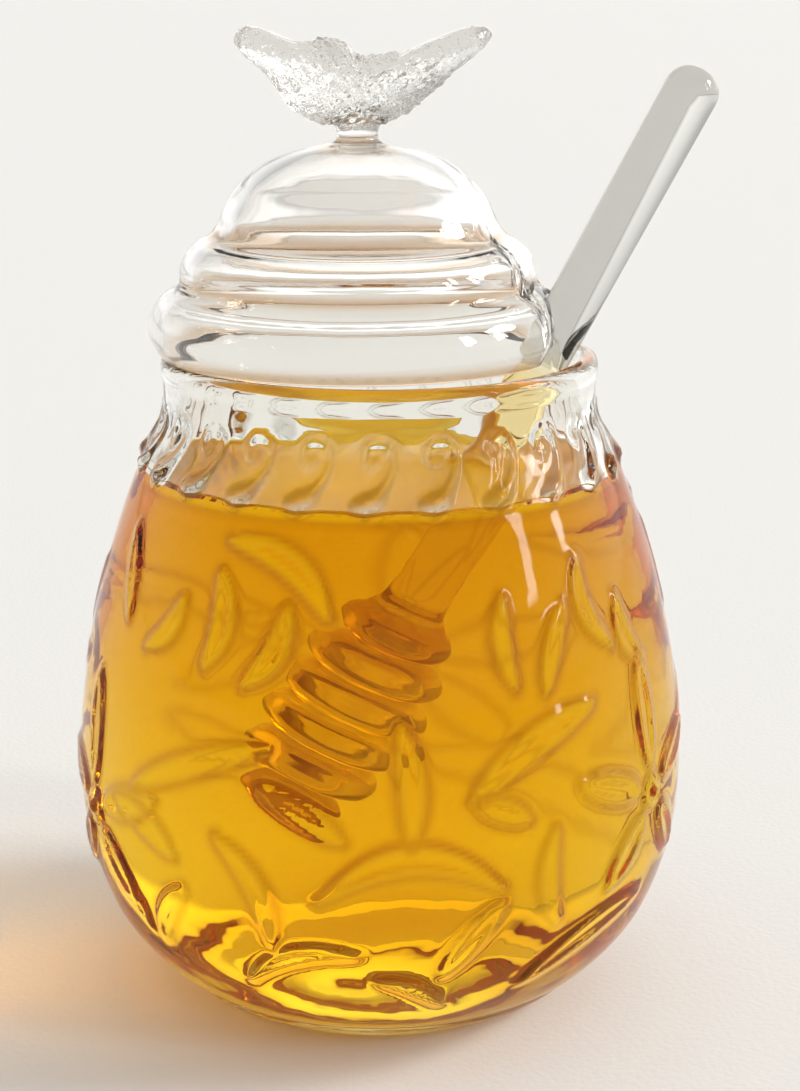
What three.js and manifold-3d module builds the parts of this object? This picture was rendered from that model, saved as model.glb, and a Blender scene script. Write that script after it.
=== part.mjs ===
// Pressed-glass honey jar with a loose beehive lid and a glass dipper standing in the honey.
// Millimetres, +Z up, the jar's axis on Z, its base on z = 0, its front towards -Y.
import * as THREE from "three";
import { mergeVertices } from "three/addons/utils/BufferGeometryUtils.js";
import Module from "manifold-3d";

const wasm = await Module();
wasm.setup();
const rad = THREE.MathUtils.degToRad;

// Driving dimensions
const jarTurns = 48; // segments round the jar
const bodyRadius = 50;
const bodyMiddle = 37; // height of the widest ring
const lowerReach = 43.45;
const lowerPower = 2.3;
const upperReach = 88;
const upperPower = 1.8;
const neckRadius = 34.7;
const neckBottom = 95.7;
const rimTop = 105;
const rimInner = 31.9;
const wallThick = 2.8;
const floorThick = 6;
const honeyLevel = 86;
const clearance = 0.3; // gap round each loose piece that isn't resting flat
const petalRise = 1.0; // how far the pressed leaves stand out

const lidShift = -3.35; // the lid sits off the jar's axis, away from the dipper
const lidTurns = 36;
const lidWall = 2.1;
const notchHalf = 11;
const notchMiddle = -3;
const notchTop = 115.6;

const rodAtRim = 26.35; // x of the rod's axis at z = 104
const rodSlope = 0.53;
const rodRadius = 3.95;
const rodTopRadius = 4.4;
const headBottom = 30.5; // height of the head's tip
const headLength = 36;
const discRadii = [6.8, 9, 9.9, 9.9, 9.2, 7.6]; // from the tip upwards
const discPitch = 5.7;
const discThick = 3.7;
const grooveRadius = 5.6;

// Closed geometry to a solid, whichever way its faces point.
function solid(geometry) {
  geometry.deleteAttribute("normal");
  geometry.deleteAttribute("uv");
  const merged = mergeVertices(geometry, 1e-4);
  const index = merged.index.array;
  const kept = [];
  for (let i = 0; i < index.length; i += 3) {
    const [a, b, c] = [index[i], index[i + 1], index[i + 2]];
    if (a !== b && b !== c && a !== c) kept.push(a, b, c);
  }
  const position = merged.attributes.position.array;
  const make = (t) =>
    new wasm.Manifold(new wasm.Mesh({ numProp: 3, vertProperties: position, triVerts: new Uint32Array(t) }));
  const made = make(kept);
  if (made.volume() > 0) return made;
  for (let i = 0; i < kept.length; i += 3) [kept[i + 1], kept[i + 2]] = [kept[i + 2], kept[i + 1]];
  return make(kept);
}

// A profile of [radius, height] pairs turned about Z.
function turned(profile, segments) {
  const points = profile.map(([r, z]) => new THREE.Vector2(r, z));
  return solid(new THREE.LatheGeometry(points, segments).rotateX(Math.PI / 2));
}

// Outer radius of the jar's body at a height: one power curve below the widest ring and one above.
function bodyAt(z) {
  const [reach, power] = z < bodyMiddle ? [lowerReach, lowerPower] : [upperReach, upperPower];
  const share = Math.min(1, Math.abs(z - bodyMiddle) / reach);
  const r = bodyRadius * (1 - share ** power) ** (1 / power);
  return z > 60 ? Math.max(r, neckRadius) : r;
}

function innerAt(z) {
  if (z >= bodyMiddle) return Math.max(bodyAt(z) - wallThick, rimInner);
  const share = (bodyMiddle - z) / (lowerReach - 6.61);
  return (bodyRadius - wallThick) * (1 - share ** lowerPower) ** (1 / lowerPower);
}

// A point on the body: azimuth from the front, height, and how far off the surface.
function onBody(azimuth, z, lift) {
  const slope = (bodyAt(z + 0.05) - bodyAt(z - 0.05)) / 0.1;
  const n = 1 / Math.hypot(1, slope);
  const r = bodyAt(z) + lift * n;
  return [r * Math.sin(azimuth), -r * Math.cos(azimuth), z - lift * slope * n];
}

// One pressed leaf laid on the body: a pointed ridge, bent sideways by `bend`, with its foot inside the wall.
function leaf(azimuth, z0, tilt, length, width, bend = 0, rise = petalRise) {
  const across = [[-1.15, -0.9], [-0.6, 1], [0.6, 1], [1.15, -0.9]];
  const steps = Math.max(3, Math.round(length / 5.5));
  const [s, c] = [Math.sin(rad(tilt)), Math.cos(rad(tilt))];
  const place = (u, t, h) => {
    const along = length * (u - 0.5);
    const side = t + bend * (1 - (2 * u - 1) ** 2);
    const dx = along * s + side * c;
    const dm = along * c - side * s;
    const lean = (z) => Math.hypot(1, (bodyAt(z + 0.5) - bodyAt(z - 0.5)));
    const zGuess = z0 + dm / lean(z0);
    const z = z0 + dm / lean((z0 + zGuess) / 2);
    return onBody(rad(azimuth) + dx / bodyAt(z), z, h);
  };
  const points = [place(0, 0, -0.4)];
  for (let i = 1; i < steps; i++) {
    const u = i / steps;
    const half = (width / 2) * Math.sin(Math.PI * u) ** 0.7;
    const top = rise * Math.sin(Math.PI * u) ** 0.5;
    for (const [t, h] of across) points.push(place(u, t * half, h > 0 ? h * top : h));
  }
  points.push(place(1, 0, -0.4));
  const last = points.length - 1;
  const n = across.length;
  const faces = [];
  for (let k = 0; k < n; k++) {
    const next = (k + 1) % n;
    faces.push(0, 1 + next, 1 + k);
    for (let i = 0; i < steps - 2; i++) {
      const [a, b] = [1 + i * n + k, 1 + i * n + next];
      faces.push(a, b, b + n, a, b + n, a + n);
    }
    faces.push(last, 1 + (steps - 2) * n + k, 1 + (steps - 2) * n + next);
  }
  const geometry = new THREE.BufferGeometry();
  geometry.setAttribute("position", new THREE.Float32BufferAttribute(points.flat(), 3));
  geometry.setIndex(faces);
  return solid(geometry);
}

const frontStretch = 84; // degrees to each side of the front
// Leaves of the front of the pattern: azimuth, height, tilt to the right, length, width, bend.
const leaves = [
  [-60, 74.5, -20, 14.6, 2.8, 0.3], [-45, 69.3, 37, 11, 2.8, 1.5], [-33, 71.4, 3, 14.5, 3.4, 2],
  [-20, 78.1, -59, 19.4, 3.6, 3], [-21, 68.8, 27, 13.6, 3.2, 1.7], [25, 68.9, -3, 13.6, 2.4, -1.1],
  [35, 67.1, 24, 13.7, 2.6, -0.6], [47, 72.2, -15, 15.1, 2.8, -2.7], [57, 66.6, -24, 12.4, 3.6, -2.4],
  [29, 52.5, 63, 24.7, 4.2, -1.6], [5, 49.7, -4, 17.5, 3.4, 0.8], [6, 32.1, 88, 27.8, 4.2, -6.4],
  [22, 44.4, -68, 9.2, 3.2, 0.2], [33, 32.5, -5, 16.1, 2.8, -1.9], [17, 24, 34, 15.5, 3.2, -0.4],
  [44, 18.4, 67, 25.6, 4.4, -2.6], [6, 14.6, -55, 11.9, 2.4, 1.4], [-24, 31.2, -26, 19.3, 3.2, 2.6],
  [-41, 23.9, 32, 14.1, 3, -0.8], [-53, 21.6, -54, 8.5, 3.2, 2.4], [-14, 18.9, 67, 18.8, 2.8, -3],
  [-13, 44.7, -60, 14.3, 3.2, 0.3], [-34, 49, 67, 27.9, 3.2, -0.9], [-46, 37.5, -67, 14.9, 3.8, 1],
];
const flowers = [[-63.5, 36.2], [58.4, 40.2], [178, 38.2]]; // azimuth and height of each flower's boss
const petals = [[-72, 14.5], [-3, 18], [70, 15], [140, 13], [-140, 13]]; // direction and length
const scrolls = 26;

function relief() {
  const parts = [];
  // The pattern goes on round the back as the same leaves turned by thirds, outside the front's own stretch.
  for (const turn of [0, 120, -120])
    for (const [az, z, tilt, length, width, bend] of leaves)
      if (turn === 0 || Math.abs(az + turn) > frontStretch)
        parts.push(leaf(az + turn, z, tilt, length, width, bend));
  for (const [az, z] of flowers) {
    for (const [direction, length] of petals) {
      const reach = 4 + length / 2;
      const x = reach * Math.sin(rad(direction));
      const up = reach * Math.cos(rad(direction));
      parts.push(leaf(az + THREE.MathUtils.radToDeg(x / bodyAt(z + up)), z + up, direction, length, 4.4));
    }
    const [x, y, h] = onBody(rad(az), z, -0.5);
    parts.push(wasm.Manifold.sphere(2.2, 12).translate([x, y, h]));
  }
  for (let i = 0; i < scrolls; i++) {
    const az = 4 + (i * 360) / scrolls;
    parts.push(leaf(az, 90.2, 42, 9.5, 3, -1.1, 1.1));
  }
  return wasm.Manifold.union(parts);
}

// Jar
const outerHeights = [0, 1.3, 3.6, 7.2, 12, 18.5, 27, 38, 49, 60, 71, 81, 89.5];
const innerHeights = [92, honeyLevel, 76, 64, 50, 36, 25, 16, 10.5, 7.6];
const jarProfile = [
  [0, 0],
  ...outerHeights.map((z) => [bodyAt(z), z]),
  [neckRadius + 0.25, neckBottom],
  [34.6, 100.9],
  [34.85, 101.9],
  [35, 103.2],
  [34.4, rimTop],
  [rimInner + 0.1, rimTop],
  [rimInner, rimTop - 0.4],
  [rimInner, neckBottom + 1],
  ...innerHeights.map((z) => [innerAt(z), z]),
  [innerAt(floorThick), floorThick],
  [0, floorThick],
];
const jar = turned(jarProfile, jarTurns).add(relief()).simplify(0.09);

// Dipper, first upright with its tip at the origin
const tilt = Math.atan(rodSlope);
const perHeight = 1 / Math.cos(tilt);
const rodEnd = (145.7 - headBottom) * perHeight;
function dipperProfile(grow) {
  const points = [[0, -grow], [4.4 + grow, 0.2 - grow]];
  discRadii.forEach((r, i) => {
    const start = 0.9 + i * discPitch;
    if (i) points.push([grooveRadius + grow, start - grow * 0.9]);
    points.push([r + grow, start + 0.9 - grow * 0.6]);
    points.push([r + grow, start + discThick - 0.9 + grow * 0.6]);
    points.push([grooveRadius + grow, start + discThick + grow * 0.9]);
  });
  points.push([rodRadius + grow, headLength + 1.6], [rodTopRadius + grow, rodEnd]);
  points.push([rodTopRadius * 0.87 + grow, rodEnd + 2.1], [rodTopRadius * 0.5 + grow, rodEnd + 3.5]);
  points.push([0, rodEnd + 4 + grow]);
  return points;
}
const standing = (made) =>
  made
    .rotate([0, THREE.MathUtils.radToDeg(tilt), 0])
    .translate([rodAtRim - rodSlope * (104 - headBottom), 0, headBottom]);
const dipper = standing(turned(dipperProfile(0), 20));

// Honey up to its level, cut round the dipper
const honeyHeights = innerHeights.filter((z) => z <= honeyLevel).reverse();
const honeyProfile = [
  [0, floorThick],
  [innerAt(floorThick) - clearance, floorThick],
  ...honeyHeights.map((z) => [innerAt(z) - clearance, z]),
  [0, honeyLevel],
];
const honey = turned(honeyProfile, jarTurns).subtract(standing(turned(dipperProfile(clearance), 16)));

// Lid: three stacked tiers, hollow, an arched notch for the dipper, a winged bee standing on a short stem
const lidOuter = [
  [32, rimTop], [32.9, 107], [33.4, 109.6], [32.8, 112.1], [31.1, 114.4],
  [28.5, 116], [28.15, 118.6], [26.9, 121.5], [25.3, 122.9], [23.1, 124.3],
  [21.9, 126], [20.2, 129.3], [17.5, 132.8], [13.4, 135.7], [8.6, 137.2], [0, 138.1],
];
const lidInner = [
  [0, 136], [10.6, 134.2], [16.6, 130], [20, 124.4], [24.6, 120.6], [26.2, 115.6],
  [33.4 - 1.3 * lidWall, 111], [33.1 - 1.3 * lidWall, 107.4], [29, rimTop],
];
const shell = turned([...lidOuter, ...lidInner, lidOuter[0]], lidTurns);
const arch = new THREE.Shape();
arch.moveTo(-notchHalf, rimTop - 3);
arch.lineTo(-notchHalf, rimTop + 3);
for (const [t, u] of [[-0.93, 0.55], [-0.75, 0.8], [-0.42, 0.96], [0, 1], [0.42, 0.96], [0.75, 0.8], [0.93, 0.55]])
  arch.lineTo(notchHalf * t, rimTop + (notchTop - rimTop) * u);
arch.lineTo(notchHalf, rimTop + 3);
arch.lineTo(notchHalf, rimTop - 3);
const notch = solid(
  new THREE.ExtrudeGeometry(arch, { depth: 30, bevelEnabled: false })
    .rotateX(Math.PI / 2)
    .rotateZ(Math.PI / 2)
    .translate(15, notchMiddle, 0),
);

// The knob is a fan of two raised wings and a body. Its front outline is an angle in degrees and a reach in mm
// about its middle, and each slice across the outline is an ellipse of the same depth.
const knobMiddle = 147;
const knobDepth = 6.6;
const knobRows = 8;
const knobOutline = [
  [-90, 6.6], [-59, 7.2], [-37, 8.2], [-22, 9.4], [-7, 11.4], [6, 14.7], [13, 18.6], [19, 22], [24, 21.3],
  [28, 17], [33, 9], [55, 5.2], [90, 4.6], [108, 6.4], [124, 8.3], [140, 9.9], [148, 14], [153, 19], [160, 20.1],
  [167, 17.6], [174, 14.3], [185, 12.2], [199, 11], [218, 8.9], [243, 7.1],
];
function knobSolid() {
  const points = [[0, -knobDepth, knobMiddle]];
  for (let i = 1; i < knobRows; i++) {
    const off = rad(-90 + (180 * i) / knobRows);
    for (const [angle, outline] of knobOutline) {
      const reach = 1 / Math.hypot(Math.cos(off) / outline, Math.sin(off) / knobDepth);
      const flat = reach * Math.cos(off);
      points.push([flat * Math.cos(rad(angle)), reach * Math.sin(off), knobMiddle + flat * Math.sin(rad(angle))]);
    }
  }
  points.push([0, knobDepth, knobMiddle]);
  const n = knobOutline.length;
  const last = points.length - 1;
  const faces = [];
  for (let k = 0; k < n; k++) {
    const next = (k + 1) % n;
    faces.push(0, 1 + next, 1 + k);
    for (let i = 0; i < knobRows - 2; i++) {
      const [a, b] = [1 + i * n + k, 1 + i * n + next];
      faces.push(a, b, b + n, a, b + n, a + n);
    }
    faces.push(last, 1 + (knobRows - 2) * n + k, 1 + (knobRows - 2) * n + next);
  }
  const geometry = new THREE.BufferGeometry();
  geometry.setAttribute("position", new THREE.Float32BufferAttribute(points.flat(), 3));
  geometry.setIndex(faces);
  return solid(geometry);
}
const stem = turned([[0, 136.4], [3.6, 136.4], [3.3, 138.6], [3.2, 139.4], [4.2, 141.8], [4.1, 143.2], [0, 144.6]], 16);
const bee = knobSolid().add(stem);
const lid = shell.subtract(notch.translate([-lidShift, 0, 0])).add(bee).translate([lidShift, 0, 0]).simplify(0.06);

// Meshes
const glass = (name) =>
  new THREE.MeshStandardMaterial({ name, color: 0xe9eeec, roughness: 0.05, transparent: true, opacity: 0.35 });
const jarGlass = glass("pressed_jar_glass");
const lidGlass = glass("pressed_lid_glass");
const dipperGlass = glass("dipper_glass");
const honeyAmber = new THREE.MeshStandardMaterial({ name: "honey", color: 0xd8950f, roughness: 0.15 });

const group = new THREE.Group();
group.name = "honey_jar";
for (const [name, made, material] of [
  ["jar", jar, jarGlass], ["honey", honey, honeyAmber], ["lid", lid, lidGlass], ["dipper", dipper, dipperGlass],
]) {
  const mesh = made.getMesh();
  const geometry = new THREE.BufferGeometry();
  const stride = mesh.numProp;
  const position = new Float32Array(mesh.numVert * 3);
  for (let i = 0; i < mesh.numVert; i++) position.set(mesh.vertProperties.subarray(i * stride, i * stride + 3), i * 3);
  geometry.setAttribute("position", new THREE.BufferAttribute(position, 3));
  geometry.setIndex(new THREE.BufferAttribute(mesh.triVerts, 1));
  geometry.computeVertexNormals();
  const piece = new THREE.Mesh(geometry, material);
  piece.name = name;
  console.log(name, made.numTri(), "triangles", (made.volume() / 1000).toFixed(1), "cm3");
  group.add(piece);
}

export default group;
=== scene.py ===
import bpy
import math
import numpy as np
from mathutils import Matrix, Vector


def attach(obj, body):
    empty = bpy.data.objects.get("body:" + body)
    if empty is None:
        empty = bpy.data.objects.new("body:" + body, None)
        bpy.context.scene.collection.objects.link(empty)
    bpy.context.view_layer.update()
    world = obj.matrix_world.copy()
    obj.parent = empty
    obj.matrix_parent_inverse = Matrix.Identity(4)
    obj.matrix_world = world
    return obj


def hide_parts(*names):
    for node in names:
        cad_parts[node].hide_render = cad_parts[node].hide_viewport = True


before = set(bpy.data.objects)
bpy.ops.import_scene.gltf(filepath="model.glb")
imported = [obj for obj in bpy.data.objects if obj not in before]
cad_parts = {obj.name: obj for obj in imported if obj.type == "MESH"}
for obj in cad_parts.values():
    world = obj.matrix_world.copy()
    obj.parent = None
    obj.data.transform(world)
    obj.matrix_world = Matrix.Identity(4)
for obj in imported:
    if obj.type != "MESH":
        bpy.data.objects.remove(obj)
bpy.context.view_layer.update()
mm = 0.001
print("frame loaded, nodes:", sorted(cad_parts))


def linear(hexColour):
    # sRGB hex to linear: x / 12.92 below 0.04045, otherwise ((x + 0.055) / 1.055) ** 2.4
    parts = [int(hexColour[i:i + 2], 16) / 255 for i in (0, 2, 4)]
    return [p / 12.92 if p <= 0.04045 else ((p + 0.055) / 1.055) ** 2.4 for p in parts] + [1.0]


def tinted(colours, tint, share):
    # the tint multiplies the colours: fully where the share is 1, not at all where it is 0
    return np.array(colours) * (1 + (np.array(linear(tint)) - 1) * share)


def blended(first, second, share):
    # straight-line mix of two colours: the first where the share is 0, the second where it is 1
    return np.array(first) + (np.array(second) - np.array(first)) * share


def smoothStep(x, low, high):
    # 0 below low, 1 above high, and 3t^2 - 2t^3 between them
    t = np.clip((x - low) / (high - low), 0, 1)
    return t * t * (3 - 2 * t)


def addNode(tree, kind, inputs=None, **settings):
    # one node with its own settings; each input, by name or number, gets a value or another node's output
    node = tree.nodes.new(kind)
    for name, value in settings.items():
        setattr(node, name, value)
    for name, value in (inputs or {}).items():
        if isinstance(value, bpy.types.NodeSocket):
            tree.links.new(value, node.inputs[name])
        else:
            node.inputs[name].default_value = value
    return node


def newMaterial(name):
    material = bpy.data.materials.new(name)
    material.use_nodes = True
    material.node_tree.nodes.clear()
    return material


def gridPiece(name, rings, poles, materials, slots=None):
    # closed surface in mm: quads between rings of points, shaped (rows, columns, 3), and a fan at each pole
    rows, columns = rings.shape[:2]
    points = np.vstack([rings.reshape(-1, 3), poles]) * mm
    row = np.arange(rows - 1)[:, None]
    column = np.arange(columns)
    beside = (column + 1) % columns
    quads = np.stack([row * columns + column, row * columns + beside,
                      (row + 1) * columns + beside, (row + 1) * columns + column], -1).reshape(-1, 4)
    lastRow = (rows - 1) * columns
    firstPole, lastPole = rows * columns, rows * columns + 1
    fans = np.vstack([np.stack([np.full(columns, firstPole), beside, column], -1),
                      np.stack([np.full(columns, lastPole), lastRow + column, lastRow + beside], -1)])
    loops = np.concatenate([quads.ravel(), fans.ravel()])
    sizes = np.repeat([4, 3], [len(quads), len(fans)])
    mesh = bpy.data.meshes.new(name)
    mesh.vertices.add(len(points))
    mesh.vertices.foreach_set("co", points.astype(np.float32).ravel())
    mesh.loops.add(len(loops))
    mesh.loops.foreach_set("vertex_index", loops.astype(np.int32))
    mesh.polygons.add(len(sizes))
    mesh.polygons.foreach_set("loop_start", (np.cumsum(sizes) - sizes).astype(np.int32))
    mesh.polygons.foreach_set("loop_total", sizes.astype(np.int32))
    mesh.polygons.foreach_set("use_smooth", np.ones(len(sizes), bool))
    if slots is not None:
        mesh.polygons.foreach_set("material_index", slots.astype(np.int32))
    mesh.update(calc_edges=True)
    mesh.validate()
    for material in materials:
        mesh.materials.append(material)
    piece = bpy.data.objects.new(name, mesh)
    bpy.context.scene.collection.objects.link(piece)
    # a closed mesh whose signed volume is negative has its faces pointing in
    corner = points[quads]
    volume = np.einsum("ij,ij->i", corner[:, 0], np.cross(corner[:, 1], corner[:, 2])).sum()
    volume += np.einsum("ij,ij->i", corner[:, 0], np.cross(corner[:, 2], corner[:, 3])).sum()
    if volume < 0:
        mesh.flip_normals()
    return piece


def faceSlots(rowSlots, columns, firstFan, lastFan):
    # material slot of every face: one for each row of quads, and one for the fan at each pole
    return np.concatenate([np.repeat(rowSlots, columns).astype(int), np.full(columns, firstFan),
                           np.full(columns, lastFan)])


def paintPoints(piece, name, colours):
    # a colour for every point, rows first and the two poles last, which the piece's material reads
    layer = piece.data.color_attributes.new(name, "FLOAT_COLOR", "POINT")
    layer.data.foreach_set("color", np.asarray(colours).astype(np.float32).ravel())


def arcLength(path):
    # distance along a polyline from its first point to each point
    return np.concatenate([[0], np.cumsum(np.hypot(*np.diff(path, axis=0).T))])


def evenly(path, step):
    # the polyline read again at equal arc lengths, about step mm apart
    length = arcLength(path)
    count = max(2, int(round(length[-1] / step)) + 1)
    s = np.linspace(0, length[-1], count)
    return np.stack([np.interp(s, length, path[:, 0]), np.interp(s, length, path[:, 1])], -1)


def smoothPath(points, step):
    # Catmull-Rom curve: between two points a cubic whose slopes come from their neighbours
    p = np.array(points, float)
    p = np.vstack([2 * p[0] - p[1], p, 2 * p[-1] - p[-2]])
    t = np.linspace(0, 1, 24, endpoint=False)[:, None]
    spans = []
    for a, b, c, d in zip(p[:-3], p[1:-2], p[2:-1], p[3:]):
        spans.append(0.5 * (2 * b + (c - a) * t + (2 * a - 5 * b + 4 * c - d) * t ** 2
                            + (3 * b - a - 3 * c + d) * t ** 3))
    return evenly(np.vstack(spans + [p[-2:-1]]), step)


def pathNormals(path):
    # unit normals of a profile, to the right of its direction of travel
    d = np.gradient(path, axis=0)
    d /= np.maximum(np.hypot(d[:, 0], d[:, 1]), 1e-9)[:, None]
    return np.stack([d[:, 1], -d[:, 0]], -1)


def fullTurn(columns):
    return np.arange(columns) * 2 * math.pi / columns


def turned(radius, height, angle, centre=0.0):
    # points of a turned surface: the angle runs from the front, -Y, towards +X
    return np.stack(np.broadcast_arrays(centre + radius * np.sin(angle), -radius * np.cos(angle), height), -1)


# the jar's glass, in mm; the row steps are along the profile
jar = {
    "bodyRadius": 50.0, "bodyMiddle": 37.0,     # widest ring and its height
    "lowerReach": 43.45, "lowerPower": 2.3,     # power curve below it
    "upperReach": 88.0, "upperPower": 1.8,      # power curve above it
    "neckRadius": 34.7, "neckEasing": 0.35, "rimInner": 31.9, "rimHeight": 105.0,
    "wall": 2.8, "innerReach": 36.84, "floor": 6.0, "evening": 4.0,
    "columns": 480, "bodyStep": 0.76, "neckStep": 0.8, "innerStep": 4.6, "floorStep": 3.0,
    "beadRise": 0.3, "beadHeight": 2.6, "beadWidth": 0.8,
    "grooveDepth": 0.4, "grooveHeight": 4.4, "grooveWidth": 0.9,
}
tableStep = 0.05
heights = np.linspace(0, jar["rimHeight"], 2101)     # every tableStep mm


def rawRadiusAt(z):
    # power curve below and above the widest ring, eased into the neck by a soft maximum
    low = np.clip((jar["bodyMiddle"] - z) / jar["lowerReach"], 0, 0.9999)
    high = np.clip((z - jar["bodyMiddle"]) / jar["upperReach"], 0, 0.9999)
    below = jar["bodyRadius"] * (1 - low ** jar["lowerPower"]) ** (1 / jar["lowerPower"])
    above = jar["bodyRadius"] * (1 - high ** jar["upperPower"]) ** (1 / jar["upperPower"])
    r = np.where(z < jar["bodyMiddle"], below, above)
    easing = jar["neckEasing"]
    soft = easing * np.logaddexp(r / easing, jar["neckRadius"] / easing)
    return np.where(z > 60, soft, r)


def evened(values, z):
    # Gaussian mean over height between foot and shoulder, so that no ring shows where two curves meet
    reach = 240
    kernel = np.exp(-0.5 * (np.arange(-reach, reach + 1) * tableStep / jar["evening"]) ** 2)
    mean = np.convolve(np.pad(values, reach, mode="edge"), kernel / kernel.sum(), mode="valid")
    share = smoothStep(z, 13, 22) * (1 - smoothStep(z, 80, 88))
    return values + (mean - values) * share


bodyTable = evened(rawRadiusAt(heights), heights)
meridian = arcLength(np.stack([bodyTable, heights], -1))
# inside, the wall's thickness in from the outer curve, and low down a power curve to the floor
innerLow = np.clip((jar["bodyMiddle"] - heights) / jar["innerReach"], 0, 0.9999)
bowl = (jar["bodyRadius"] - jar["wall"]) * (1 - innerLow ** jar["lowerPower"]) ** (1 / jar["lowerPower"])
upperInside = np.maximum(rawRadiusAt(heights) - jar["wall"], jar["rimInner"])
innerTable = evened(np.where(heights < jar["bodyMiddle"], bowl, upperInside), heights)


def bodyRadiusAt(z):
    return np.interp(z, heights, bodyTable)


def innerRadiusAt(z):
    return np.interp(z, heights, innerTable)


# pressed leaves on the front: azimuth from the front, height, tilt, length, width, bend
leafRows = [
    (-60, 74.5, -20, 14.6, 2.8, 0.3), (-45, 69.3, 37, 11, 2.8, 1.5), (-33, 71.4, 3, 14.5, 3.4, 2),
    (-20, 78.1, -59, 19.4, 3.6, 3), (-21, 68.8, 27, 13.6, 3.2, 1.7), (25, 68.9, -3, 13.6, 2.4, -1.1),
    (35, 67.1, 24, 13.7, 2.6, -0.6), (47, 72.2, -15, 15.1, 2.8, -2.7), (57, 66.6, -24, 12.4, 3.6, -2.4),
    (29, 52.5, 63, 24.7, 4.2, -1.6), (5, 49.7, -4, 17.5, 3.4, 0.8), (6, 32.1, 88, 27.8, 4.2, -6.4),
    (22, 44.4, -68, 9.2, 3.2, 0.2), (33, 32.5, -5, 16.1, 2.8, -1.9), (17, 24, 34, 15.5, 3.2, -0.4),
    (44, 18.4, 67, 25.6, 4.4, -2.6), (6, 14.6, -55, 11.9, 2.4, 1.4), (-24, 31.2, -26, 19.3, 3.2, 2.6),
    (-41, 23.9, 32, 14.1, 3, -0.8), (-53, 21.6, -54, 8.5, 3.2, 2.4), (-14, 18.9, 67, 18.8, 2.8, -3),
    (-13, 44.7, -60, 14.3, 3.2, 0.3), (-34, 49, 67, 27.9, 3.2, -0.9), (-46, 37.5, -67, 14.9, 3.8, 1),
]
# each flower's azimuth and height, and each of its petals' direction and length
flowerRows = [(-63.5, 36.2), (58.4, 40.2), (178, 38.2)]
petalRows = [(-72, 14.5), (-3, 18), (70, 15), (140, 13), (-140, 13)]
relief = {
    "leafRise": 0.5, "petalRise": 0.6, "petalWidth": 4.4, "petalStart": 4.0,
    "frontHalf": 84, "backShare": 0.6,     # lower on the back, where the leaves show through the honey
    "ridgeInset": 0.45, "ridgeWidth": 1.12, "middleRise": 0.45,
    # where, how wide and how dark the painted shade line just outside each outline is
    "creaseOffset": 0.7, "creaseWidth": 0.95, "paintedCreaseShare": 0.9,
}

# every leaf and petal as (azimuth, height, tilt, length, width, bend, rise); the leaves repeat round the back
pressedShapes = [(leaf[0] + turn, *leaf[1:], relief["leafRise"])
                 for turn in (0, 120, -120) for leaf in leafRows
                 if turn == 0 or abs(leaf[0] + turn) > relief["frontHalf"]]
for centreAzimuth, centreHeight in flowerRows:
    for petalDirection, petalLength in petalRows:
        petalReach = relief["petalStart"] + petalLength / 2
        zMid = centreHeight + petalReach * math.cos(math.radians(petalDirection)) * 0.99
        sideways = petalReach * math.sin(math.radians(petalDirection))
        azMid = centreAzimuth + math.degrees(sideways / float(bodyRadiusAt(zMid)))
        pressedShapes.append((azMid, zMid, petalDirection, petalLength, relief["petalWidth"], 0,
                              relief["petalRise"]))


def leafHeight(azimuth, z, az0, z0, tilt, length, width, bend):
    # lens outline: half width (1 - along^2)^0.6, bent by bend (1 - along^2); a Gaussian ridge follows the
    # outline, the middle swells, and a second Gaussian just outside is a painted shade line, which is not in
    # the height
    dx = np.radians((azimuth - az0 + 180) % 360 - 180) * bodyRadiusAt(z)
    dm = np.interp(z, heights, meridian) - np.interp(z0, heights, meridian)
    s, c = math.sin(math.radians(tilt)), math.cos(math.radians(tilt))
    along = (dx * s + dm * c) / (length / 2)
    inside = np.clip(1 - along ** 2, 0, 1)
    across = np.abs(dx * c - dm * s - bend * inside)
    half = width / 2 * inside ** 0.6
    beyond = np.maximum(np.abs(along) - 1, 0) * length / 2
    edge = np.hypot(np.maximum(across - half, 0), beyond) - np.maximum(half - across, 0)
    ridge = np.exp(-((edge + relief["ridgeInset"]) / relief["ridgeWidth"]) ** 2)
    middle = relief["middleRise"] * smoothStep(-edge, 0.0, 1.4)
    creaseShade = relief["paintedCreaseShare"] * np.exp(-((edge - relief["creaseOffset"]) / relief["creaseWidth"]) ** 2)
    return np.maximum(ridge, middle), creaseShade


# running scroll round the neck: one S-shaped stroke repeated, its tail thick and its head a curl;
# each point of the stroke is sideways, up and half width
scroll = {"count": 24, "start": 1, "height": 93.6, "radius": 36.5}
scrollStroke = [(-3.3, -4.9, 1.0), (-2.3, -4.8, 1.25), (-0.9, -4.1, 1.15), (0.4, -2.6, 0.75),
                (1.4, -0.8, 0.55), (2.0, 1.0, 0.5), (1.7, 2.8, 0.5), (0.3, 4.0, 0.5), (-1.5, 3.9, 0.5),
                (-2.7, 2.7, 0.5), (-2.6, 1.2, 0.5), (-1.5, 0.5, 0.5), (-0.6, 1.2, 0.5)]


def scrollHeight(azimuth, z):
    # the highest of all Gaussians by distance from each straight piece of the stroke; a wide one stands higher
    period = 360 / scroll["count"]
    local = (azimuth - scroll["start"] + period / 2) % period - period / 2
    y = z - scroll["height"]
    h = np.zeros_like(z)
    for shift in (-period, 0, period):
        x = np.radians(local + shift) * scroll["radius"]
        for (xa, ya, wa), (xb, yb, wb) in zip(scrollStroke[:-1], scrollStroke[1:]):
            t = ((x - xa) * (xb - xa) + (y - ya) * (yb - ya)) / ((xb - xa) ** 2 + (yb - ya) ** 2)
            t = np.clip(t, 0, 1)
            d = np.hypot(x - xa - t * (xb - xa), y - ya - t * (yb - ya))
            w = wa + t * (wb - wa)
            h = np.maximum(h, w * (0.42 + 0.42 * w) * np.exp(-(d / w) ** 2))
    return h


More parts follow.
